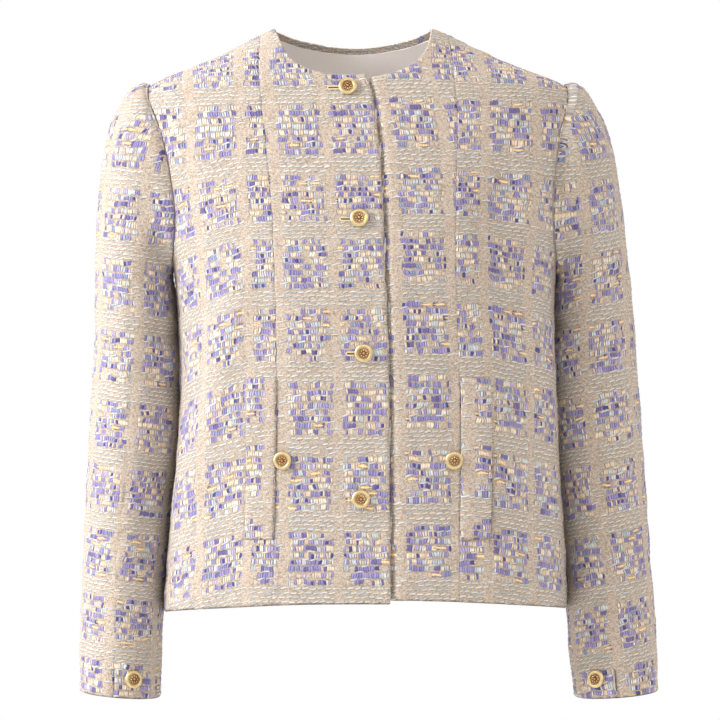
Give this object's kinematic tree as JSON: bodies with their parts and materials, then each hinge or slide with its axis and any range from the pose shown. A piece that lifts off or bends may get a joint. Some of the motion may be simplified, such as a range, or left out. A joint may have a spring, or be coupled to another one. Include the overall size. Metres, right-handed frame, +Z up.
{
  "type": "cropped tweed jacket",
  "caption": "Hollow collarless cropped jacket in checked tweed, with princess seams, long set-in sleeves, vertical welt pockets and turned metal buttons.",
  "frame": {"origin": "midway between the two neck points, level with them, where the wearer's shoulders hold the jacket", "axes": "+Z up along the wearer's body, +X towards the wearer's left, -Y the way the front faces"},
  "size_m": [0.5766, 0.247, 0.6669],
  "materials": {
    "tweed": "matte woven tweed with a slubby check in beige, cream, lilac and pale blue",
    "lining": "soft satin lining in warm grey",
    "gold_metal": "polished pale gold with an antiqued copper-brown centre"
  },
  "bodies": {
    "root": {"front_centre_right": "tweed", "front_centre_left": "tweed", "front_side_right": "tweed", "front_side_left": "tweed", "back": "tweed", "sleeve_right": "tweed", "sleeve_left": "tweed", "welt_right": "tweed", "welt_left": "tweed", "lining_back": "lining", "button_front_1": "gold_metal", "button_front_2": "gold_metal", "button_front_3": "gold_metal", "button_front_4": "gold_metal", "button_pocket_right": "gold_metal", "button_pocket_left": "gold_metal", "button_cuff_right": "gold_metal", "button_cuff_left": "gold_metal"}
  },
  "joints": []
}
